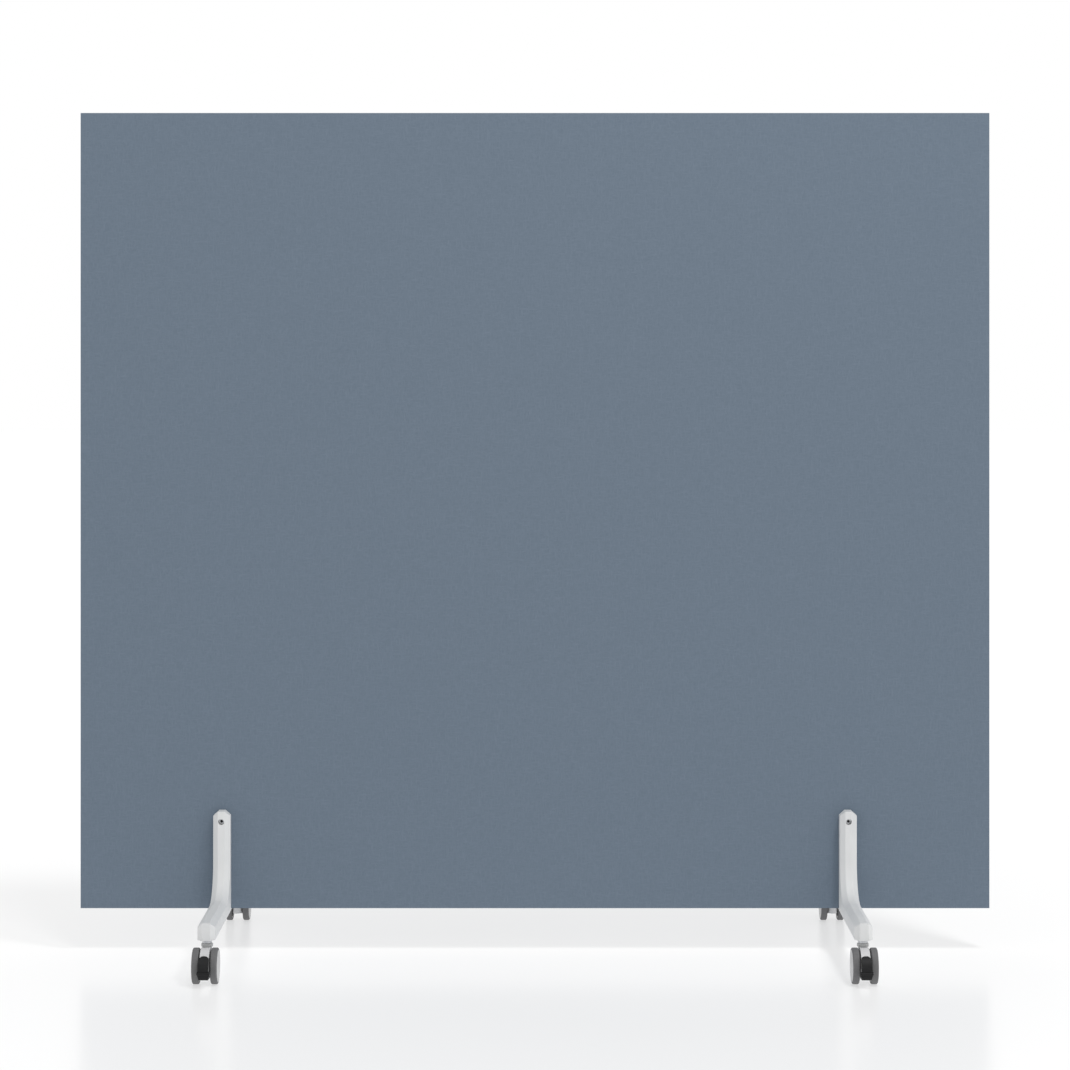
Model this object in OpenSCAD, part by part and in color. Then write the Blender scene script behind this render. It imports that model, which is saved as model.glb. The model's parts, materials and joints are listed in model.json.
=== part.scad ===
// Rolling partition: a thin felt-faced panel held upright between cast feet.
// Each foot is a front and a rear casting, joined under the panel and clamped
// through it, and stands on two braked twin-wheel castors.
// Origin on the floor under the middle of the panel. X runs along the panel,
// +Z is up and the front face looks towards -Y.

/* [Panel] */
// Width of the panel
panel_w = 1600; // [1300:10:2000]
// Height of the panel
panel_h = 1400; // [900:10:1800]
// Thickness of the stiff core board
core_t = 8; // [6:0.5:16]
// Thickness of the felt on each face
felt_t = 2; // [1:0.25:4]
// Thickness of the band that closes each edge of the core
band_t = 1.5; // [0.5:0.25:3]

/* [Feet] */
// Distance from each end of the panel in to the middle of its foot
foot_inset = 250; // [120:10:400]
// Width of a foot casting
foot_w = 30; // [28:0.5:36]
// Reach of a leg from the middle of the panel
foot_reach = 275; // [220:5:340]
// Height of an upright above the leg's underside
upright_h = 177.5; // [140:0.5:240]
// Thickness of an upright, away from the panel
upright_t = 24; // [20:0.5:32]
// Height of a leg
leg_h = 30; // [26:0.5:38]
// Radius of the bend between upright and leg
bend_r = 57; // [40:1:70]
// Width of the bevels along the outer edges
bevel_w = 9; // [6:0.5:9.5]
// Depth of the bevels along the outer edges
bevel_d = 8; // [5:0.5:10]
// Width of the cut corners at the top of an upright
top_corner_w = 9.5; // [6:0.5:11]
// Height of the cut corners at the top of an upright
top_corner_h = 8.5; // [4:0.5:10]
// Width of the cut corners at the end of a leg
end_corner_w = 7.5; // [4:0.5:10]
// Length of the cut corners at the end of a leg
end_corner_l = 10; // [5:0.5:12]

/* [Clamp] */
// Distance from an upright's top down to its clamp bolt
bolt_drop = 18; // [14:0.5:40]
// Diameter of the clamp bolt's shank
bolt_d = 6; // [5:0.5:6.5]
// Length of the clamp bolt's shank
bolt_l = 20; // [16:1:24]
// Outer diameter of the clamp sleeve
sleeve_d = 8; // [7.5:0.1:8.6]
// Diameter of the bolt and sleeve heads
head_d = 10; // [9:0.25:11]
// Height of the bolt and sleeve heads
head_h = 6; // [5:0.25:7]
// Depth of a head's seat below the face of its upright
seat_deep = 14; // [10:0.5:16]
// Width across the flats of the heads' hexagon sockets
socket_af = 5; // [3:0.5:5.5]
// Depth of the hexagon sockets in those heads
socket_deep = 4; // [2.5:0.25:4.5]
// Thickness of the bridge plate under the panel
plate_t = 4; // [3.5:0.5:8]
// Width of the bridge plate
plate_w = 20; // [16:0.5:22]
// Reach of the bridge plate into each leg
plate_reach = 60; // [50:1:90]
// Distance of a bridge plate's screws from its end
screw_inset = 14; // [10:0.5:16]
// Diameter of a bridge plate screw's shank
screw_d = 5; // [4:0.25:5.5]
// Length of a bridge plate screw
screw_l = 16; // [12:1:20]
// Diameter of a bridge plate screw's countersunk head
screw_head_d = 9; // [8:0.25:10]
// Width across the flats of a bridge plate screw's socket
screw_socket_af = 3; // [2.5:0.25:3.5]
// Depth of a bridge plate screw's socket
screw_socket_deep = 2; // [1.5:0.25:2.5]

/* [Castor wheels] */
// Diameter over the treads
wheel_d = 60; // [54:1:70]
// Width of one wheel
wheel_w = 11.5; // [10:0.5:15]
// Gap between the two wheels of a castor
wheel_gap = 19.6; // [18.6:0.2:24]
// Thickness of a tread
tread_t = 3.6; // [2.8:0.2:5]
// Rounding of a tread's outer shoulder
shoulder_r = 2.6; // [1:0.2:2.8]
// Height of the dome on a wheel's outer disc
dome_h = 1; // [0.5:0.1:2]
// Thickness of a wheel's outer disc
disc_t = 3; // [2:0.25:4]
// Thickness of a wheel's rim
rim_t = 3; // [2:0.25:4]
// Diameter of a wheel's hub
hub_d = 16; // [12:0.5:20]
// Diameter of the axle
axle_d = 6; // [5:0.25:8]

/* [Castor swivel] */
// Distance from a leg's end back to the stem
stem_inset = 22; // [16:0.5:40]
// Trail of the axle behind the stem
trail = 22; // [20:0.5:26]
// Height of the leg's underside above the top of the wheels
headroom = 11; // [10:0.5:16]
// Diameter of the stem's thread in the leg
thread_d = 10; // [8:0.5:12]
// Length of the stem's thread in the leg
thread_l = 22; // [14:1:24]
// Width across the flats of the stem's hexagon
hex_af = 14; // [12.5:0.5:17]
// Height of the stem's hexagon
hex_h = 6.5; // [4:0.1:7]
// Diameter of the stem's swivel journal
journal_d = 8; // [6:0.25:9]
// Diameter of the cap over the swivel
cap_d = 20; // [17:0.5:23]
// Height of the cap over the swivel
cap_h = 5.7; // [5:0.1:7]
// Gap between the housing and each wheel
housing_gap = 2.1; // [1.5:0.1:2.6]
// Height of the housing's underside under the stem
housing_z = 17; // [14:0.5:18]
// Height of the housing's underside behind the pedal
toe_z = 11; // [9:0.5:14]

/* [Castor brake] */
// Gap between the pedal's shell and each wheel
pedal_gap = 1.2; // [0.6:0.1:2]
// Outer radius of the pedal's curved shell
shell_r = 24.2; // [23.5:0.1:26]
// Thickness of the pedal's shell
shell_t = 3.4; // [2.5:0.1:3.8]
// Width of the pedal's toe lip
lip_w = 21; // [18:0.5:28]
// Thickness of the pedal's toe lip
lip_t = 4; // [3:0.25:6]
// How far the toe lip stands out of the shell
lip_out = 2.4; // [1:0.2:5]
// Width of the pedal's arm
arm_w = 8; // [6:0.25:9]
// Width of the pedal's toe at its lower edge
toe_w = 16; // [12:0.5:18]
// Width of the flat between the round corners of the pedal's top
pedal_flat = 2.2; // [1:0.2:8]
// Height of the pedal's arm
arm_h = 6; // [4:0.25:6.5]
// Diameter of the pedal's pivot boss
boss_d = 10; // [8:0.25:11]
// Diameter of the pedal's pivot pin
pin_d = 4; // [3:0.25:5]
// Thickness of the brake's leaf spring
leaf_t = 0.8; // [0.5:0.1:1.2]
// Width of the brake's leaf spring
leaf_w = 7; // [5:0.25:7.5]

/* [Clearances] */
// Radial clearance of a shaft in its bore
fit = 0.05; // [0.02:0.01:0.08]
// Gap between faces that move past each other
gap = 0.3; // [0.2:0.05:0.4]
// Radial clearance of a bolt, sleeve or thread in its hole
loose = 0.1; // [0.05:0.05:0.2]

/* [Hidden] */
$fn = 64;
eps = 1;

// Panel
panel_t = core_t + 2 * felt_t;
foot_z = wheel_d + headroom;
panel_z = foot_z + plate_t;
panel_top = panel_z + panel_h;

// Feet, with y measured outwards from the middle of the panel
foot_spacing = panel_w - 2 * foot_inset;
foot_y = panel_t / 2;
upright_y = foot_y + upright_t;
upright_z = foot_z + upright_h;
leg_z = foot_z + leg_h;
bend_y = upright_y + bend_r;
bend_z = leg_z + bend_r;
bolt_z = upright_z - bolt_drop;
head_rim = 0.6;
head_room = 0.3;
tip_room = 2;
sleeve_room = 3;
seat_y = upright_y - seat_deep;
sleeve_end = seat_y - sleeve_room;
stem_y = foot_reach - stem_inset;
thread_room = 1.5;

// Bridge plate
plate_end = foot_y + plate_reach;
screw_ys = [foot_y + screw_inset, plate_end - screw_inset];

// Castors
wheel_r = wheel_d / 2;
axle_y = stem_y + trail;
core_r = wheel_r - tread_t;
bore_deep = wheel_w - disc_t;
axle_l = wheel_gap + 2 * (bore_deep - gap);
hex_z = foot_z - hex_h;
cap_z = hex_z - gap - cap_h;
housing_w = wheel_gap - 2 * housing_gap;
barrel_wall = 2;
barrel_proud = 0.3;
barrel_d = max(housing_w + 2 * barrel_proud, journal_d + 2 * barrel_wall);
hood_r = wheel_r;
spacer_d = (hub_d + axle_d) / 2;
journal_lift = 6;
journal_room = 1;
journal_z = housing_z + journal_lift;
cap_lip = 1.5;

// Brake, with u measured outwards and v upwards from the axle
pivot_back = 16;
pivot_u = hood_r - pivot_back;
pivot_v = 12;
shell_back = 12.1;
shell_u = hood_r - shell_back;
shell_v = -1.1;
shell_from = -39.5;
shell_to = 69;
lip_v = -5;
lip_slope = 20;
arm_v = 11;
slot_w = arm_w + 2 * gap;
slot_behind = 1.3;
slot_above = 2;
slot_below = 9;
slot_u = pivot_u - boss_d / 2 - slot_behind;
slot_top = pivot_v + boss_d / 2 + slot_above;
slot_floor = pivot_v - boss_d / 2 - slot_below;
leaf_foot = 8;
leaf_past = 1;
pedal_w = wheel_gap - 2 * pedal_gap;
pedal_corner_r = (pedal_w - pedal_flat) / 2;

// Names
ENDS = ["front", "rear"];
SIDES = ["left", "right"];
PANEL_NODES = [
    "panel_core", "front_felt", "rear_felt",
    "edge_band_top", "edge_band_bottom", "edge_band_left", "edge_band_right",
];
CLAMP_NODES = [
    "bridge_plate_left", "bridge_plate_right", "bridge_screws",
    "clamp_sleeves", "clamp_bolts", "castor_stems",
];
FOOT_NODES = [for (e = ENDS, s = SIDES) str("foot_", e, "_", s)];
CASTOR_PIECES = [
    "castor_cap", "castor_housing", "castor_axle",
    "wheel_left", "wheel_right", "tread_left", "tread_right",
    "brake_pedal", "brake_pin", "brake_spring",
];
CASTOR_NODES = [for (e = ENDS, s = SIDES, p = CASTOR_PIECES) str(e, "_", s, "_", p)];

// Colours
SLATE = [0.427, 0.478, 0.533];
WHITE = [0.86, 0.86, 0.87];
PALE = [0.80, 0.80, 0.81];
TREAD = [0.40, 0.40, 0.41];
BLACK = [0.17, 0.17, 0.18];
STEEL = [0.62, 0.63, 0.65];
BOARD = [0.62, 0.52, 0.40];

// ---- placing ----

// Turns a piece drawn with +Y outwards to the front or the rear of a foot
module at_end(end) {
    rotate([0, 0, end == "front" ? 180 : 0]) children();
}

// Moves a piece to the left or the right foot
module at_side(side) {
    translate([(side == "left" ? -1 : 1) * foot_spacing / 2, 0, 0]) children();
}

// Moves a piece drawn with +Y outwards to one of the four castors
module at_corner(end, side) {
    at_side(side) at_end(end) children();
}

// Extrudes an outline of (y, z) points across X, centred on X = 0
module across(width) {
    rotate([90, 0, 90]) linear_extrude(height = width, center = true) children();
}

// A round bar along Y from y0 to y1 at height z
module bar_y(d, y0, y1, z) {
    translate([0, y0, z]) rotate([-90, 0, 0]) cylinder(d = d, h = y1 - y0);
}

// A round bar across X, centred on X = 0, at the point (y, z)
module bar_x(d, width, y, z) {
    translate([0, y, z]) rotate([0, 90, 0]) cylinder(d = d, h = width, center = true);
}

// A hexagon prism along +Z with the given width across its flats
module hexagon(af, h) {
    cylinder(d = af / cos(30), h = h, $fn = 6);
}

// ---- panel ----

// The clamp sleeves' holes through the panel's layers
module sleeve_holes() {
    for (side = SIDES) {
        at_side(side) bar_y(sleeve_d + 2 * loose, -panel_t, panel_t, bolt_z);
    }
}

module panel_layer(y0, thick, inset) {
    difference() {
        translate([inset - panel_w / 2, y0, panel_z + inset])
            cube([panel_w - 2 * inset, thick, panel_h - 2 * inset]);
        sleeve_holes();
    }
}

module panel_core() {
    color(BOARD) panel_layer(-core_t / 2, core_t, band_t);
}

module front_felt() {
    color(SLATE) panel_layer(-panel_t / 2, felt_t, 0);
}

module rear_felt() {
    color(SLATE) panel_layer(core_t / 2, felt_t, 0);
}

// The bands along the top and the bottom run the panel's whole width
module edge_band_level(z0) {
    color(SLATE) translate([-panel_w / 2, -core_t / 2, z0]) cube([panel_w, core_t, band_t]);
}

// The bands at the left and the right stand between the other two
module edge_band_upright(x0) {
    color(SLATE) translate([x0, -core_t / 2, panel_z + band_t])
        cube([band_t, core_t, panel_h - 2 * band_t]);
}

// ---- feet ----

// Side outline of a casting: upright, leg and the hollow bend between them
module foot_outline() {
    difference() {
        union() {
            translate([foot_y, foot_z]) square([upright_t, upright_h]);
            translate([foot_y, foot_z]) square([foot_reach - foot_y, leg_h]);
            translate([foot_y, foot_z]) square([bend_y - foot_y, bend_z - foot_z]);
        }
        translate([bend_y, bend_z]) circle(r = bend_r, $fn = 128);
        translate([upright_y, bend_z]) square([bend_r * 2, upright_h]);
    }
}

// Section of one bevel's cut: x across the casting, y as depth below its face
module bevel_section() {
    reach = 0.2;
    edge = foot_w / 2;
    polygon([
        [edge - (1 + reach) * bevel_w, -reach * bevel_d],
        [edge + reach * bevel_w, -reach * bevel_d],
        [edge + reach * bevel_w, (1 + reach) * bevel_d],
    ]);
}

// One side's bevel: down the upright, round the bend and out along the leg
module bevel_cut() {
    translate([0, upright_y, bend_z]) mirror([0, 1, 0])
        linear_extrude(height = upright_z - bend_z + eps) bevel_section();
    translate([0, bend_y, leg_z]) rotate([-90, 0, 0])
        linear_extrude(height = foot_reach - bend_y + eps) bevel_section();
    translate([0, bend_y, bend_z]) rotate([0, 90, 0]) rotate([0, 0, -90])
        rotate_extrude(angle = 90, $fn = 128)
            translate([bend_r, 0]) mirror([1, -1]) bevel_section();
}

// One side's cut corner at the top of the upright
module top_corner_cut() {
    edge = foot_w / 2;
    rotate([90, 0, 0]) translate([0, 0, -upright_y - eps])
        linear_extrude(height = upright_t + 2 * eps) polygon([
            [edge - top_corner_w, upright_z],
            [edge - top_corner_w, upright_z + eps],
            [edge + eps, upright_z + eps],
            [edge + eps, upright_z - top_corner_h],
            [edge, upright_z - top_corner_h],
        ]);
}

// One side's cut corner at the end of the leg
module end_corner_cut() {
    edge = foot_w / 2;
    translate([0, 0, foot_z - eps])
        linear_extrude(height = leg_h + 2 * eps) polygon([
            [edge - end_corner_w, foot_reach],
            [edge - end_corner_w, foot_reach + eps],
            [edge + eps, foot_reach + eps],
            [edge + eps, foot_reach - end_corner_l],
            [edge, foot_reach - end_corner_l],
        ]);
}

// Holes in a casting: clamp bolt, bridge plate with its screws, castor stem
module foot_holes() {
    bar_y(sleeve_d + 2 * loose, 0, upright_y + eps, bolt_z);
    bar_y(head_d + 2 * head_room, seat_y, upright_y + eps, bolt_z);
    translate([-plate_w / 2 - gap, 0, foot_z - eps])
        cube([plate_w + 2 * gap, plate_end + gap, plate_t + eps]);
    for (y = screw_ys) {
        translate([0, y, foot_z]) cylinder(d = screw_d + 2 * loose, h = screw_l + loose);
    }
    translate([0, stem_y, foot_z - eps])
        cylinder(d = thread_d + 2 * loose, h = eps + thread_l + thread_room);
}

module foot_casting() {
    color(WHITE) difference() {
        across(foot_w) foot_outline();
        for (flip = [0, 1]) {
            mirror([flip, 0, 0]) {
                bevel_cut();
                top_corner_cut();
                end_corner_cut();
            }
        }
        foot_holes();
    }
}

// ---- clamp and bridge ----

// A round head on +Z with a cut rim and a hexagon socket, its seat at z = 0
module socket_head() {
    difference() {
        union() {
            cylinder(d = head_d, h = head_h - head_rim);
            translate([0, 0, head_h - head_rim])
                cylinder(d1 = head_d, d2 = head_d - 2 * head_rim, h = head_rim);
        }
        translate([0, 0, head_h - socket_deep]) hexagon(socket_af, socket_deep + eps);
    }
}

// A clamp part lies along Y with its head in an upright's counterbore
module lay_outwards(y) {
    translate([0, y, bolt_z]) rotate([-90, 0, 0]) children();
}

// The sleeve comes from the rear and takes the bolt in its blind bore
module clamp_sleeve() {
    bolt_tip = bolt_l - seat_y;
    color(STEEL) difference() {
        union() {
            lay_outwards(seat_y) socket_head();
            bar_y(sleeve_d, -sleeve_end, seat_y, bolt_z);
        }
        bar_y(bolt_d + 2 * fit, -sleeve_end - eps, bolt_tip + tip_room, bolt_z);
    }
}

// The bolt comes from the front
module clamp_bolt() {
    color(STEEL) rotate([0, 0, 180]) union() {
        lay_outwards(seat_y) socket_head();
        bar_y(bolt_d, seat_y - bolt_l, seat_y, bolt_z);
    }
}

module bridge_screw() {
    head_cone_h = (screw_head_d - screw_d) / 2;
    difference() {
        union() {
            cylinder(d1 = screw_head_d, d2 = screw_d, h = head_cone_h);
            cylinder(d = screw_d, h = screw_l);
        }
        translate([0, 0, -eps]) hexagon(screw_socket_af, eps + screw_socket_deep);
    }
}

module bridge_plate() {
    head_cone_h = (screw_head_d - screw_d) / 2;
    color(WHITE) difference() {
        translate([-plate_w / 2, -plate_end, foot_z]) cube([plate_w, 2 * plate_end, plate_t]);
        for (end = ENDS, y = screw_ys) {
            at_end(end) translate([0, y, foot_z]) {
                translate([0, 0, -eps]) cylinder(d = screw_d + 2 * loose, h = plate_t + 2 * eps);
                translate([0, 0, -eps]) cylinder(
                    d1 = screw_head_d + 2 * loose + 2 * eps,
                    d2 = screw_d + 2 * loose,
                    h = head_cone_h + eps
                );
            }
        }
    }
}

// Every clamp and bridge fastener of both feet
module all_bridge_screws() {
    color(STEEL) for (side = SIDES, end = ENDS, y = screw_ys) {
        at_corner(end, side) translate([0, y, foot_z]) bridge_screw();
    }
}

module all_clamp_sleeves() {
    for (side = SIDES) at_side(side) clamp_sleeve();
}

module all_clamp_bolts() {
    for (side = SIDES) at_side(side) clamp_bolt();
}

// ---- castors ----

// Thread in the leg, hexagon under it and journal down into the housing
module castor_stem() {
    color(STEEL) translate([0, stem_y, 0]) {
        translate([0, 0, foot_z]) cylinder(d = thread_d, h = thread_l);
        translate([0, 0, hex_z]) hexagon(hex_af, hex_h);
        translate([0, 0, journal_z]) cylinder(d = journal_d, h = hex_z - journal_z);
    }
}

module all_castor_stems() {
    for (end = ENDS, side = SIDES) at_corner(end, side) castor_stem();
}

module castor_cap() {
    color([0.56, 0.56, 0.57]) translate([0, stem_y, cap_z]) difference() {
        union() {
            cylinder(d = cap_d, h = cap_h - cap_lip);
            translate([0, 0, cap_h - cap_lip])
                cylinder(d1 = cap_d, d2 = cap_d - 2 * cap_lip, h = cap_lip);
        }
        translate([0, 0, -eps]) cylinder(d = journal_d + 2 * fit, h = cap_h + 2 * eps);
    }
}

// Side outline of the housing's hood: a round over the axle. Its underside
// slopes down from the stem to the pedal.
module hood_outline() {
    toe_y = axle_y + spacer_d / 2;
    far_y = axle_y + hood_r + eps;
    intersection() {
        translate([axle_y, wheel_r]) circle(r = hood_r, $fn = 128);
        polygon([
            [stem_y, housing_z],
            [toe_y, toe_z],
            [far_y, toe_z],
            [far_y, wheel_d + eps],
            [stem_y, wheel_d + eps],
        ]);
    }
}

// Room in the housing for the pedal's arm, its boss and the leaf spring
module brake_slot() {
    translate([-slot_w / 2, axle_y + slot_u, wheel_r + slot_floor])
        cube([slot_w, hood_r - slot_u + eps, slot_top - slot_floor]);
}

module castor_housing() {
    color(PALE) difference() {
        union() {
            across(housing_w) hood_outline();
            translate([0, stem_y, housing_z]) cylinder(d = barrel_d, h = cap_z - housing_z);
            bar_x(spacer_d, wheel_gap, axle_y, wheel_r);
        }
        translate([0, stem_y, journal_z - journal_room])
            cylinder(d = journal_d + 2 * fit, h = wheel_d);
        translate([0, stem_y, cap_z]) cylinder(d = cap_d + 4 * gap, h = wheel_d);
        bar_x(axle_d + 2 * fit, wheel_gap + 2 * eps, axle_y, wheel_r);
        bar_x(pin_d + 2 * fit, wheel_gap, axle_y + pivot_u, wheel_r + pivot_v);
        brake_slot();
    }
}

module castor_axle() {
    color(STEEL) bar_x(axle_d, axle_l, axle_y, wheel_r);
}

// Puts a wheel drawn about +Z, inner face at z = 0, on one end of the axle
module on_axle(sign) {
    translate([sign * wheel_gap / 2, axle_y, wheel_r]) rotate([0, sign * 90, 0]) children();
}

// One rounded corner's cut in a tread's section, at the point (r, s)
module shoulder_cut(r, s, up) {
    translate([r, s]) scale([1, up]) difference() {
        translate([-shoulder_r, -shoulder_r]) square(shoulder_r + eps);
        translate([-shoulder_r, -shoulder_r]) circle(r = shoulder_r, $fn = 32);
    }
}

module wheel_tread(sign) {
    color(TREAD) on_axle(sign) rotate_extrude($fn = 96) difference() {
        translate([core_r, 0]) square([tread_t, wheel_w]);
        shoulder_cut(wheel_r, wheel_w, 1);
        shoulder_cut(wheel_r, 0, -1);
    }
}

// Section of a wheel's core as (r, s): hub, rim and closed disc, domed outside
module wheel_section() {
    bore_r = axle_d / 2 + fit;
    dome_edge = core_r - dome_h;
    steps = 6;
    polygon(concat(
        [
            [bore_r, gap],
            [hub_d / 2, gap],
            [hub_d / 2, wheel_w - disc_t],
            [core_r - rim_t, wheel_w - disc_t],
            [core_r - rim_t, 2 * gap],
            [core_r, 2 * gap],
            [core_r, wheel_w],
        ],
        [for (i = [0 : steps])
            let (r = dome_edge * (1 - i / steps))
            [r, wheel_w + dome_h * (1 - pow(r / dome_edge, 2))]
        ],
        [[0, bore_deep], [bore_r, bore_deep]]
    ));
}

module wheel_core(sign) {
    color(PALE) on_axle(sign) rotate_extrude($fn = 96) wheel_section();
}

// ---- brake ----

// Draws an outline given in (u, v) from the axle, extruded across X
module beside_axle(width) {
    translate([0, axle_y, wheel_r]) across(width) children();
}

// Curved shell: a ring between two angles
module shell_outline() {
    far = 2 * shell_r;
    translate([shell_u, shell_v]) difference() {
        intersection() {
            circle(r = shell_r, $fn = 128);
            polygon([
                [0, 0],
                [far * cos(shell_from), far * sin(shell_from)],
                [far, 0],
                [far * cos(shell_to), far * sin(shell_to)],
            ]);
        }
        circle(r = shell_r - shell_t, $fn = 128);
    }
}

// Toe lip: a ledge with a sloping top and a round nose, rooted in the shell
module lip_outline() {
    root = shell_u + shell_r - shell_t;
    nose = shell_u + shell_r + lip_out - lip_t / 2;
    polygon([
        [root, lip_v - lip_t / 2],
        [nose, lip_v - lip_t / 2],
        [nose + lip_t / 2 * sin(lip_slope), lip_v + lip_t / 2 * cos(lip_slope)],
        [root, lip_v + lip_t / 2 * cos(lip_slope) + (nose - root) * tan(lip_slope)],
    ]);
    translate([nose, lip_v]) circle(d = lip_t);
}

module arm_outline() {
    intersection() {
        translate([pivot_u, arm_v - arm_h / 2]) square([2 * shell_r, arm_h]);
        translate([shell_u, shell_v]) circle(r = shell_r - shell_t / 2, $fn = 128);
    }
}

// Front view of the shell: a top with round corners, straight sides between
// the wheels, and under the lip a toe that narrows downwards
module shell_front() {
    top = wheel_r + shell_v + shell_r * sin(shell_to);
    toe_top = wheel_r + lip_v;
    toe_bottom = wheel_r + shell_v + shell_r * sin(shell_from);
    polygon([
        [-toe_w / 2, toe_bottom],
        [toe_w / 2, toe_bottom],
        [lip_w / 2, toe_top],
        [-lip_w / 2, toe_top],
    ]);
    translate([-pedal_w / 2, toe_top]) square([pedal_w, top - pedal_corner_r - toe_top]);
    translate([-pedal_flat / 2, toe_top]) square([pedal_flat, top - toe_top]);
    for (x = [-1, 1] * pedal_flat / 2) {
        translate([x, top - pedal_corner_r]) circle(r = pedal_corner_r, $fn = 64);
    }
}

module brake_pedal() {
    color(BLACK) difference() {
        union() {
            intersection() {
                beside_axle(max(pedal_w, lip_w)) shell_outline();
                translate([0, axle_y + 3 * shell_r, 0]) rotate([90, 0, 0])
                    linear_extrude(height = 4 * shell_r) shell_front();
            }
            beside_axle(lip_w) lip_outline();
            beside_axle(arm_w) arm_outline();
            beside_axle(arm_w) translate([pivot_u, pivot_v]) circle(d = boss_d);
        }
        bar_x(pin_d + 2 * fit, lip_w, axle_y + pivot_u, wheel_r + pivot_v);
    }
}

module brake_pin() {
    color(STEEL) bar_x(pin_d, housing_w - 2 * gap, axle_y + pivot_u, wheel_r + pivot_v);
}

// Leaf bent into a C between the slot's floor and the pedal's boss
module brake_spring() {
    back = slot_u + gap;
    top = pivot_v - boss_d / 2 - gap;
    color(STEEL) beside_axle(leaf_w) {
        translate([back, slot_floor]) square([leaf_foot, leaf_t]);
        translate([back, slot_floor]) square([leaf_t, top - slot_floor]);
        translate([back, top - leaf_t]) square([pivot_u + leaf_past - back, leaf_t]);
    }
}

// One named piece of the castor at a corner. Left and right are the object's
// own, so a front castor, turned half round, takes the other sign.
module castor_piece(piece, end) {
    turned = end == "front" ? -1 : 1;
    if (piece == "castor_cap") castor_cap();
    if (piece == "castor_housing") castor_housing();
    if (piece == "castor_axle") castor_axle();
    if (piece == "wheel_left") wheel_core(-turned);
    if (piece == "wheel_right") wheel_core(turned);
    if (piece == "tread_left") wheel_tread(-turned);
    if (piece == "tread_right") wheel_tread(turned);
    if (piece == "brake_pedal") brake_pedal();
    if (piece == "brake_pin") brake_pin();
    if (piece == "brake_spring") brake_spring();
}

// ---- the nodes ----

panel_core();
front_felt();
rear_felt();
edge_band_level(panel_top - band_t);  // edge_band_top
edge_band_level(panel_z);  // edge_band_bottom
edge_band_upright(-panel_w / 2);  // edge_band_left
edge_band_upright(panel_w / 2 - band_t);  // edge_band_right
for (end = ENDS, side = SIDES) {
    at_corner(end, side) foot_casting();
}
at_side("left") bridge_plate();  // bridge_plate_left
at_side("right") bridge_plate();  // bridge_plate_right
all_bridge_screws();  // bridge_screws
all_clamp_sleeves();  // clamp_sleeves
all_clamp_bolts();  // clamp_bolts
all_castor_stems();  // castor_stems
for (end = ENDS, side = SIDES, piece = CASTOR_PIECES) {
    at_corner(end, side) castor_piece(piece, end);
}
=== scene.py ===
import json
import math

import bmesh
import bpy
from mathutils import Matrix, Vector
from mathutils.bvhtree import BVHTree
from mathutils.interpolate import poly_3d_calc


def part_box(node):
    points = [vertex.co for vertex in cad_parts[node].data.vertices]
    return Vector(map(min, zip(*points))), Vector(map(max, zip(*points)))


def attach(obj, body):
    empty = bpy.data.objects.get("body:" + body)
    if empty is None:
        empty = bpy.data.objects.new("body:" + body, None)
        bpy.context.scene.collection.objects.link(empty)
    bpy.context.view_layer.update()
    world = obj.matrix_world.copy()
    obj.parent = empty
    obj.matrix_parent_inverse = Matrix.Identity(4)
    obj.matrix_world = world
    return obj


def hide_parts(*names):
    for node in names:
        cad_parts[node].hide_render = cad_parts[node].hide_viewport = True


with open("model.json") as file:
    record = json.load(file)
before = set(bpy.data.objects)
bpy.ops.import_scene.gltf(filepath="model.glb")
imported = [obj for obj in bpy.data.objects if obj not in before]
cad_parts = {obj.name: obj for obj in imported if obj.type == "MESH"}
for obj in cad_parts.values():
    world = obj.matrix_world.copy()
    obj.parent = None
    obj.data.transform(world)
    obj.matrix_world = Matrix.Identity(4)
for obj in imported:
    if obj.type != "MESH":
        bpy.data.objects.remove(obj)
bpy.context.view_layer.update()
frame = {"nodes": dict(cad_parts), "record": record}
NODES = frame["nodes"]
ENDS = ("front", "rear")
SIDES = ("left", "right")
MM = 0.001
WHITE = (1, 1, 1, 1)


# ---- camera: level and square to the panel, with its frame shifted down ----

IMAGE_SIZE = 1070  # pixels along each side
HORIZON_RISE = 193.8  # pixels from the image's middle up to the horizon
LENS = 100.0  # mm
SENSOR = 36.0  # mm
EYE = (0.0, -5.239, 1.0732)
FARTHEST_SEEN = 60.0

camera_data = bpy.data.cameras.new("camera")
camera_data.lens = LENS
camera_data.sensor_width = SENSOR
camera_data.sensor_fit = "HORIZONTAL"
camera_data.shift_y = -HORIZON_RISE / IMAGE_SIZE
camera_data.clip_end = FARTHEST_SEEN
camera = bpy.data.objects.new("camera", camera_data)
camera.location = EYE
camera.rotation_euler = (math.radians(90), 0, 0)
bpy.context.scene.collection.objects.link(camera)
bpy.context.scene.camera = camera


# ---- shading helpers ----

NOISE_SPAN = (0.3, 0.7)  # most of a noise lies between these levels
# a Mix node's colour sockets, by number because its other sockets share their names
MIX_A = 6
MIX_B = 7
MIX_RESULT = 2


def linear(*levels):
    """Screen levels from 0 to 255 as a linear colour with alpha, by the sRGB curve."""
    out = []
    for level in levels:
        v = level / 255
        out.append(v / 12.92 if v <= 0.04045 else ((v + 0.055) / 1.055) ** 2.4)
    return (*out, 1.0)


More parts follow.
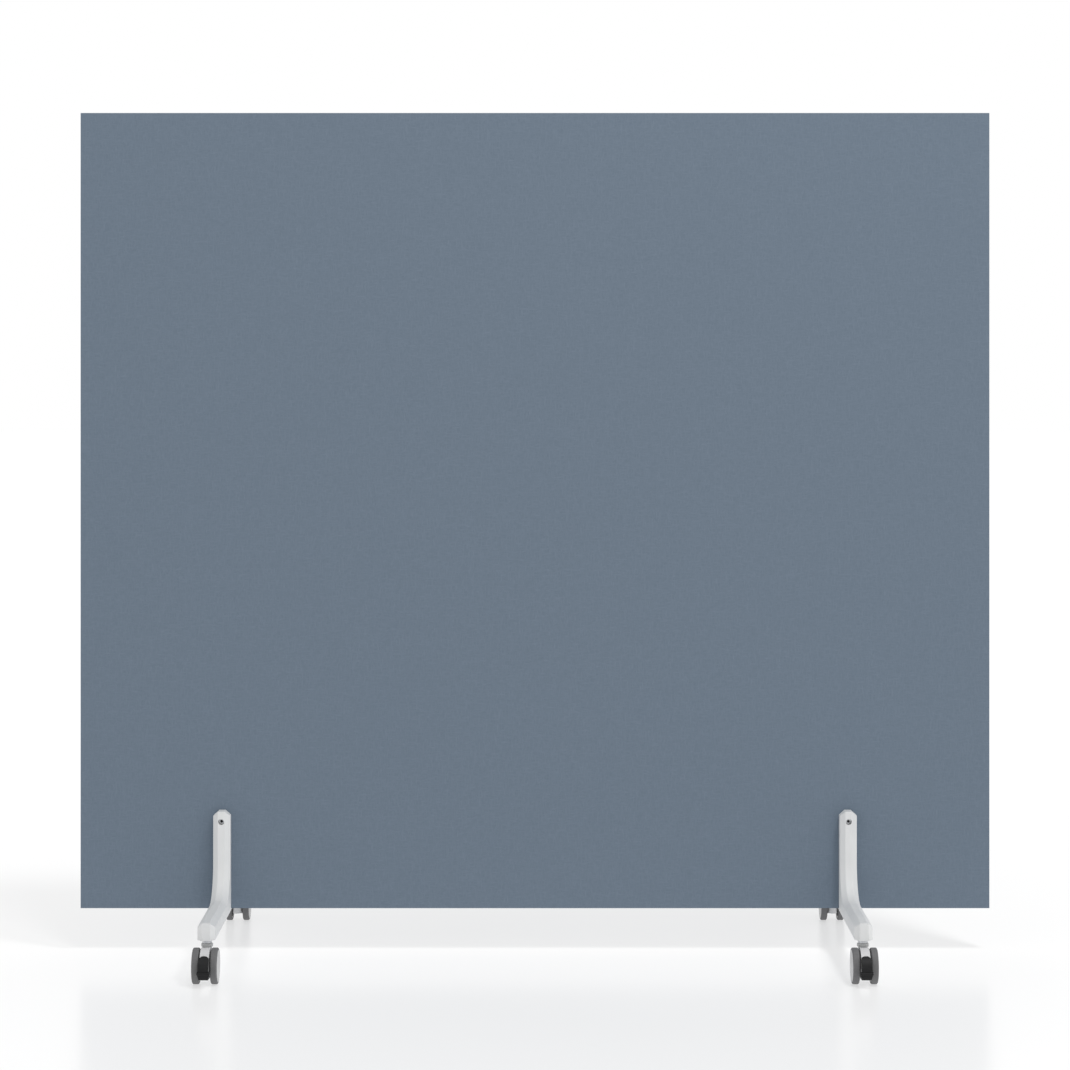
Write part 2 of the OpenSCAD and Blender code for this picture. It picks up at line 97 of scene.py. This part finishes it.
class Nodes:
    """A short way to write a node tree."""

    def __init__(self, tree):
        self.tree = tree
        self.tree.nodes.clear()

    def node(self, kind, **values):
        made = self.tree.nodes.new(kind)
        for key, value in values.items():
            setattr(made, key, value)
        return made

    def link(self, source, target):
        self.tree.links.new(source, target)

    def feed(self, socket, value):
        """Links an output to the socket, or sets the socket to a constant."""
        if hasattr(value, "links"):
            self.link(value, socket)
        else:
            socket.default_value = value

    def math(self, how, *values):
        made = self.node("ShaderNodeMath", operation=how)
        for socket, value in zip(made.inputs, values):
            self.feed(socket, value)
        return made.outputs[0]

    def split(self, vector):
        made = self.node("ShaderNodeSeparateXYZ")
        self.link(vector, made.inputs[0])
        return made.outputs["X"], made.outputs["Y"], made.outputs["Z"]

    def spread(self, value, span=NOISE_SPAN, to=(0.0, 1.0)):
        """The value, with one range of it stretched over another and held at the ends."""
        made = self.node("ShaderNodeMapRange")
        self.link(value, made.inputs["Value"])
        for key, number in zip(("From Min", "From Max", "To Min", "To Max"), (*span, *to)):
            made.inputs[key].default_value = number
        return made.outputs[0]

    def blend(self, factor, first, second):
        """The first shader where the factor is 0, the second where it is 1."""
        made = self.node("ShaderNodeMixShader")
        for socket, value in zip(made.inputs, (factor, first, second)):
            self.feed(socket, value)
        return made.outputs[0]


class Shader(Nodes):
    """A material round one principled surface. Its noises are fixed to the frame."""

    def __init__(self, name):
        self.material = bpy.data.materials.new(name)
        self.material.use_nodes = True
        super().__init__(self.material.node_tree)
        self.output = self.node("ShaderNodeOutputMaterial")
        self.surface = self.node("ShaderNodeBsdfPrincipled")
        self.link(self.surface.outputs[0], self.output.inputs["Surface"])
        self.place = self.node("ShaderNodeTexCoord").outputs["Object"]

    def set(self, **values):
        """Constant settings, straight on the shader's own sockets."""
        for key, value in values.items():
            self.surface.inputs[key.replace("_", " ")].default_value = value

    def noise(self, scale, detail=3.0, rough=0.55, twist=0.0, where=None):
        made = self.node("ShaderNodeTexNoise")
        made.inputs["Scale"].default_value = scale
        made.inputs["Detail"].default_value = detail
        made.inputs["Roughness"].default_value = rough
        made.inputs["Distortion"].default_value = twist
        self.link(where or self.place, made.inputs["Vector"])
        return made.outputs["Fac"]

    def streaks(self, scales, turn=(0, 0, 0), detail=3.0, rough=0.55, twist=0.0):
        """A noise with a scale of its own along each axis, so it is drawn out."""
        made = self.node("ShaderNodeMapping")
        made.inputs["Scale"].default_value = scales
        made.inputs["Rotation"].default_value = turn
        self.link(self.place, made.inputs["Vector"])
        return self.noise(1, detail, rough, twist, where=made.outputs[0])

    def mix(self, factor, a, b):
        made = self.node("ShaderNodeMix", data_type="RGBA")
        self.feed(made.inputs["Factor"], factor)
        self.feed(made.inputs[MIX_A], a)
        self.feed(made.inputs[MIX_B], b)
        return made.outputs[MIX_RESULT]

    def sum(self, a, share_a, b, share_b):
        """Two heights added up, each times its share."""
        return self.math("ADD", self.math("MULTIPLY", a, share_a), self.math("MULTIPLY", b, share_b))

    def color(self, value):
        self.feed(self.surface.inputs["Base Color"], value)

    def rough(self, value):
        self.feed(self.surface.inputs["Roughness"], value)

    def bump(self, height, strength, depth):
        made = self.node("ShaderNodeBump")
        made.inputs["Strength"].default_value = strength
        made.inputs["Distance"].default_value = depth
        self.link(height, made.inputs["Height"])
        self.link(made.outputs[0], self.surface.inputs["Normal"])


# ---- materials ----

def felt():
    """Pressed felt: long tangled fibres over a faint mottle."""
    s = Shader("felt_slate")
    mottle = s.noise(22, detail=5, rough=0.6)
    coarse = s.streaks((420, 420, 90), turn=(0.0, 0.6, 0.2), rough=0.6, twist=0.6)
    crossed = s.streaks((90, 420, 420), turn=(0.3, -0.5, 0.0), rough=0.6, twist=0.6)
    upright = s.streaks((800, 800, 160), turn=(0.0, -0.25, 0.4), detail=2, rough=0.6, twist=0.8)
    fibre = s.math("MAXIMUM", coarse, crossed)
    tone = s.mix(s.spread(fibre, (0.38, 0.74)), linear(100, 113, 127), linear(110, 123, 137))
    tone = s.mix(s.spread(upright, (0.56, 0.72), to=(0, 0.2)), tone, linear(120, 133, 146))
    tone = s.mix(s.spread(mottle, to=(0, 0.22)), tone, linear(103, 116, 130))
    s.color(tone)
    s.rough(s.spread(fibre, (0.3, 0.8), to=(0.86, 0.97)))
    s.set(Sheen_Weight=0.06, Sheen_Roughness=0.6, Specular_IOR_Level=0.15)
    s.bump(s.sum(fibre, 0.7, upright, 0.4), strength=0.3, depth=0.3 * MM)
    return s.material


def edging():
    """Extruded edging strip, finely drawn along its length."""
    s = Shader("edging_slate")
    drawn = s.streaks((40, 2600, 40), detail=2, rough=0.5)
    grain = s.noise(1800, detail=2)
    s.color(s.mix(s.spread(drawn, (0.35, 0.65)), linear(101, 113, 127), linear(110, 123, 137)))
    s.rough(s.spread(grain, to=(0.5, 0.62)))
    s.set(Specular_IOR_Level=0.4)
    s.bump(s.sum(drawn, 1.0, grain, 0.5), strength=0.2, depth=0.08 * MM)
    return s.material


def fibreboard():
    """The core board, which shows only when the edge bands are off."""
    s = Shader("fibreboard_raw")
    chips = s.noise(260, detail=5, rough=0.7, twist=0.4)
    dust = s.noise(1500, detail=2)
    s.color(s.mix(s.spread(chips), linear(150, 121, 88), linear(186, 158, 122)))
    s.rough(s.spread(dust, to=(0.8, 0.95)))
    s.bump(chips, strength=0.3, depth=0.2 * MM)
    return s.material


def white_coat():
    """Powder coat: a fine orange peel with a soft gloss."""
    s = Shader("powder_coat_white")
    peel = s.noise(620, detail=2, rough=0.5)
    fine = s.noise(2400, detail=2, rough=0.5)
    cloud = s.noise(16, rough=0.5)
    s.color(s.mix(s.spread(cloud), linear(211, 212, 213), linear(217, 218, 218)))
    s.rough(s.spread(peel, to=(0.52, 0.64)))
    s.set(Specular_IOR_Level=0.35)
    s.bump(s.sum(peel, 0.8, fine, 0.25), strength=0.16, depth=0.12 * MM)
    return s.material


def plastic(name, low, high, rough, grain_scale=1600, relief=0.14, specular=0.45):
    """Moulded nylon: fine spark grain, faint flow marks and scuffs."""
    s = Shader(name)
    grain = s.noise(grain_scale, detail=2, rough=0.5)
    flow = s.streaks((60, 60, 160), twist=1.2)
    scuff = s.streaks((500, 90, 500), turn=(0.4, 0.2, 0.7), detail=4, rough=0.7, twist=0.5)
    tone = s.mix(s.spread(flow, (0.32, 0.68)), low, high)
    s.color(s.mix(s.spread(scuff, (0.62, 0.78), to=(0, 0.18)), tone, high))
    rubbed = s.spread(scuff, (0.6, 0.8), to=(0, 0.12))
    s.rough(s.math("ADD", s.spread(grain, to=rough), rubbed))
    s.set(Specular_IOR_Level=specular)
    s.bump(grain, strength=relief, depth=0.06 * MM)
    return s.material


def tread():
    """Soft tread: matt, with moulded rings round the wheel and a little dust."""
    s = Shader("tread_grey")
    rings = s.streaks((2600, 20, 20), detail=1, rough=0.5)
    grain = s.noise(1300)
    dust = s.noise(180, detail=4, rough=0.65)
    tone = s.mix(s.spread(grain), linear(100, 100, 101), linear(111, 111, 112))
    s.color(s.mix(s.spread(dust, (0.5, 0.75), to=(0, 0.2)), tone, linear(128, 127, 125)))
    s.rough(s.spread(dust, (0.3, 0.75), to=(0.62, 0.82)))
    s.set(Specular_IOR_Level=0.35)
    s.bump(s.sum(rings, 0.6, grain, 0.5), strength=0.22, depth=0.08 * MM)
    return s.material


def steel(name, painted_shade=None):
    """Zinc-plated steel, with fine turning marks and faint clouding.

    The optional last argument is a function of the shader that says where the shade deep in a recess
    is painted in, as a near-black colour.
    """
    s = Shader(name)
    turned = s.streaks((300, 3200, 3200), detail=2, rough=0.5)
    cloud = s.noise(240)
    tone = s.mix(s.spread(cloud), linear(176, 178, 182), linear(203, 204, 206))
    # painted shade: the recess mask turns the colour near black, standing in for the shade deep in
    # the sockets
    s.color(s.mix(painted_shade(s), tone, linear(38, 38, 39)) if painted_shade else tone)
    s.rough(s.spread(turned, to=(0.24, 0.42)))
    s.set(Metallic=1.0)
    s.bump(turned, strength=0.12, depth=0.04 * MM)
    return s.material


def in_clamp_sockets(s):
    """1 inside the hexagon sockets of the clamp bolts and sleeves, else 0: the mask for the painted
    shade that stands in for the dark depth of the sockets.
    """
    socket_share = 0.6  # of the head's radius, which takes in the hexagon's corners
    face_skin = 0.05 * MM
    low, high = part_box("clamp_bolts")
    head_r = (high[2] - low[2]) / 2
    head_x = high[0] - head_r
    head_z = high[2] - head_r
    face = -low[1]
    x, y, z = s.split(s.place)
    off_x = s.math("SUBTRACT", s.math("ABSOLUTE", x), head_x)
    off_z = s.math("SUBTRACT", z, head_z)
    squares = s.math("ADD", s.math("MULTIPLY", off_x, off_x), s.math("MULTIPLY", off_z, off_z))
    away = s.math("SQRT", squares)
    near_axis = s.math("LESS_THAN", away, socket_share * head_r)
    below_face = s.math("LESS_THAN", s.math("ABSOLUTE", y), face - face_skin)
    return s.math("MULTIPLY", near_axis, below_face)


LOOKS = {
    "felt": felt(),
    "edge_band": edging(),
    "fibreboard": fibreboard(),
    "white_coat": white_coat(),
    "steel": steel("zinc_steel"),
    # zinc steel with painted shade inside the hexagon sockets of the clamp bolts and sleeves
    "clamp_steel": steel("zinc_steel_clamp", in_clamp_sockets),
    "pale_plastic": plastic(
        "nylon_pale", linear(202, 202, 203), linear(207, 207, 208), rough=(0.42, 0.54),
    ),
    "disc_plastic": plastic(
        "nylon_disc", linear(185, 185, 185), linear(190, 190, 190), rough=(0.42, 0.54),
    ),
    "grey_plastic": plastic(
        "nylon_grey", linear(188, 189, 189), linear(194, 195, 195), rough=(0.4, 0.52),
    ),
    "black_plastic": plastic(
        "nylon_black", linear(22, 22, 23), linear(29, 29, 30), rough=(0.5, 0.62),
        grain_scale=1300, relief=0.15, specular=0.2,
    ),
    "tread": tread(),
}
SLOT_OF = {entry["node"]: entry["material_slot"] for entry in frame["record"]["subparts"]}
# variants of a slot's finish, by the end of the node's name
CLOSER_LOOKS = {
    "wheel_left": "disc_plastic",
    "wheel_right": "disc_plastic",
    "clamp_bolts": "clamp_steel",
    "clamp_sleeves": "clamp_steel",
}


def look_of(name):
    """A node's finish: its slot's, or a variant of it for some pieces."""
    for ending, look in CLOSER_LOOKS.items():
        if name.endswith(ending):
            return LOOKS[look]
    return LOOKS[SLOT_OF[name]]


for name, node in NODES.items():
    node.data.materials.clear()
    node.data.materials.append(look_of(name))


# ---- softened copies of the hard-edged nodes ----

WELD_WITHIN = 0.002 * MM
ON_SURFACE = 0.005 * MM
FLAT_BELOW = math.radians(0.4)
ROUNDED_ABOVE = math.radians(28)
SMOOTH_BELOW = math.radians(40)
BEVEL_STEPS = 3
# node, body, radius of its rounded edges, and the length below which an edge stays sharp
SOFTENED = (
    ("foot_{}", "frame", 0.8 * MM, 1.0 * MM),
    ("{}_castor_cap", "{}_swivel", 0.5 * MM, 0.0),
    ("{}_castor_housing", "{}_swivel", 0.6 * MM, 1.0 * MM),
)


def shade_like(data, cad):
    """Gives a mesh the CAD mesh's normals, wherever it lies on the CAD mesh.

    The corners of rounded edges lie off it, and keep a smooth normal of their own.
    """
    tree = BVHTree.FromPolygons(
        [vertex.co for vertex in cad.vertices],
        [face.vertices[:] for face in cad.polygons],
    )
    normals = [Vector()] * len(data.loops)
    for face in data.polygons:
        for corner in face.loop_indices:
            place = data.vertices[data.loops[corner].vertex_index].co
            hits = tree.find_nearest_range(place, ON_SURFACE)
            if not hits:
                continue
            spot, _, index, _ = max(hits, key=lambda hit: hit[1].dot(face.normal))
            own = cad.polygons[index]
            weights = poly_3d_calc([cad.vertices[i].co for i in own.vertices], spot)
            normal = Vector()
            for weight, i in zip(weights, own.loop_indices):
                normal += weight * cad.corner_normals[i].vector
            normals[corner] = normal.normalized()
    data.normals_split_custom_set(normals)


def soften(name, radius, shortest):
    """A copy of a CAD node with its sharp edges rounded.

    Edges shorter than the given length, and edges that meet one, stay sharp.
    """
    source = NODES[name].data
    mesh = bmesh.new()
    mesh.from_mesh(source)
    bmesh.ops.remove_doubles(mesh, verts=mesh.verts, dist=WELD_WITHIN)
    bmesh.ops.dissolve_limit(mesh, angle_limit=FLAT_BELOW, verts=mesh.verts, edges=mesh.edges)
    corners = [e for e in mesh.edges if e.is_manifold and e.calc_face_angle(0) > ROUNDED_ABOVE]
    fine = {vertex for e in corners if e.calc_length() < shortest for vertex in e.verts}
    corners = [e for e in corners if fine.isdisjoint(e.verts)]
    bmesh.ops.bevel(
        mesh, geom=corners, offset=radius, offset_type="OFFSET", segments=BEVEL_STEPS,
        profile=0.5, affect="EDGES", clamp_overlap=False, miter_outer="ARC",
    )
    data = bpy.data.meshes.new(name + "_soft")
    mesh.to_mesh(data)
    mesh.free()
    for face in data.polygons:
        face.use_smooth = True
    data.set_sharp_from_angle(angle=SMOOTH_BELOW)
    shade_like(data, source)
    data.materials.append(look_of(name))
    piece = bpy.data.objects.new(name + "_soft", data)
    bpy.context.scene.collection.objects.link(piece)
    return piece


def stand_in(name, body, radius, shortest):
    piece = soften(name, radius, shortest)
    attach(piece, body)
    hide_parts(name)


for end in ENDS:
    for side in SIDES:
        corner = f"{end}_{side}"
        for node, body, radius, shortest in SOFTENED:
            stand_in(node.format(corner), body.format(corner), radius, shortest)


# ---- stage ----

def make_floor():
    """A pale floor that shows the object's shadow and a faint mirror image.

    The glow keeps the shadow light. What the camera sees of it grows with the distance
    from the object, so the far floor meets the white background without a step.
    """
    size = 60
    glow_share = 0.56
    glow_strength = 1.14
    far_extra = 0.22
    far_from = (0.3, -0.1, 0.0)
    far_span = (0.5, 3.0)
    mirror_share = 0.175
    bpy.ops.mesh.primitive_plane_add(size=size, location=(0, 0, 0))
    floor = bpy.context.object
    floor.name = "studio_floor"
    s = Shader("studio_floor")
    s.color(linear(250, 250, 250))
    s.rough(0.9)
    s.set(Specular_IOR_Level=0.0)
    seen = s.node("ShaderNodeLightPath").outputs["Is Camera Ray"]
    away = s.node("ShaderNodeVectorMath", operation="DISTANCE")
    s.link(s.place, away.inputs[0])
    away.inputs[1].default_value = far_from
    extra = s.spread(away.outputs["Value"], far_span, to=(0.0, far_extra))
    glow = s.node("ShaderNodeEmission")
    glow.inputs["Color"].default_value = WHITE
    s.link(s.math("ADD", s.math("MULTIPLY", extra, seen), glow_strength), glow.inputs["Strength"])
    lit = s.blend(glow_share, s.surface.outputs[0], glow.outputs[0])
    mirror = s.node("ShaderNodeBsdfGlossy", distribution="MULTI_GGX")
    mirror.inputs["Roughness"].default_value = 0.2
    fresnel = s.node("ShaderNodeFresnel")
    fresnel.inputs["IOR"].default_value = 1.25
    sheen = s.math("MINIMUM", fresnel.outputs[0], mirror_share)
    polished = s.blend(s.math("MULTIPLY", sheen, seen), lit, mirror.outputs[0])
    s.link(polished, s.output.inputs["Surface"])
    floor.data.materials.append(s.material)


make_floor()


# ---- light ----

def make_world():
    """A soft dome, brightest low down, and brighter at the sides and behind the panel.

    The camera, mirrors and clear materials see plain white in its place.
    """
    at_horizon = 1.25
    at_top = 0.43
    top_from = 0.7
    level = 0.9
    more_at_sides = 0.6
    more_at_right = 0.12
    more_behind = 0.16
    world = bpy.data.worlds.new("studio")
    world.use_nodes = True
    bpy.context.scene.world = world
    w = Nodes(world.node_tree)
    ray = w.node("ShaderNodeLightPath").outputs
    seen = w.math("MAXIMUM", ray["Is Camera Ray"], ray["Is Glossy Ray"])
    seen = w.math("MAXIMUM", seen, ray["Is Transmission Ray"])
    x, y, z = w.split(w.node("ShaderNodeTexCoord").outputs["Generated"])
    height = w.spread(z, (0.0, top_from), to=(at_horizon, at_top))
    around = w.math("MULTIPLY_ADD", w.math("MULTIPLY", x, x), more_at_sides, level)
    around = w.math("MULTIPLY_ADD", x, more_at_right, around)
    around = w.math("MULTIPLY_ADD", y, more_behind, around)
    soft = w.node("ShaderNodeBackground")
    soft.inputs["Color"].default_value = WHITE
    w.link(w.math("MULTIPLY", around, height), soft.inputs["Strength"])
    white = w.node("ShaderNodeBackground")
    white.inputs["Color"].default_value = WHITE
    output = w.node("ShaderNodeOutputWorld")
    w.link(w.blend(seen, soft.outputs[0], white.outputs[0]), output.inputs["Surface"])


def sun(name, strength, angle, travel):
    """A lamp with parallel light, travelling along the given direction."""
    data = bpy.data.lights.new(name, "SUN")
    data.energy = strength
    data.angle = math.radians(angle)
    made = bpy.data.objects.new(name, data)
    made.rotation_euler = Vector(travel).to_track_quat("-Z", "Y").to_euler()
    bpy.context.scene.collection.objects.link(made)


def softbox(name, power, width, place, aim):
    """A round lamp at a place, facing the point that it is aimed at."""
    data = bpy.data.lights.new(name, "AREA")
    data.shape = "DISK"
    data.size = width
    data.energy = power
    made = bpy.data.objects.new(name, data)
    made.location = place
    made.rotation_euler = (Vector(aim) - Vector(place)).to_track_quat("-Z", "Y").to_euler()
    made.visible_camera = False
    bpy.context.scene.collection.objects.link(made)


make_world()
sun("key", strength=0.42, angle=9, travel=(-0.235, 0.46, -1.0))
softbox("near_key", power=60, width=0.75, place=(1.53, -1.43, 4.5), aim=(0.0, 0.0, 0.5))
bpy.context.scene.view_settings.view_transform = "Standard"
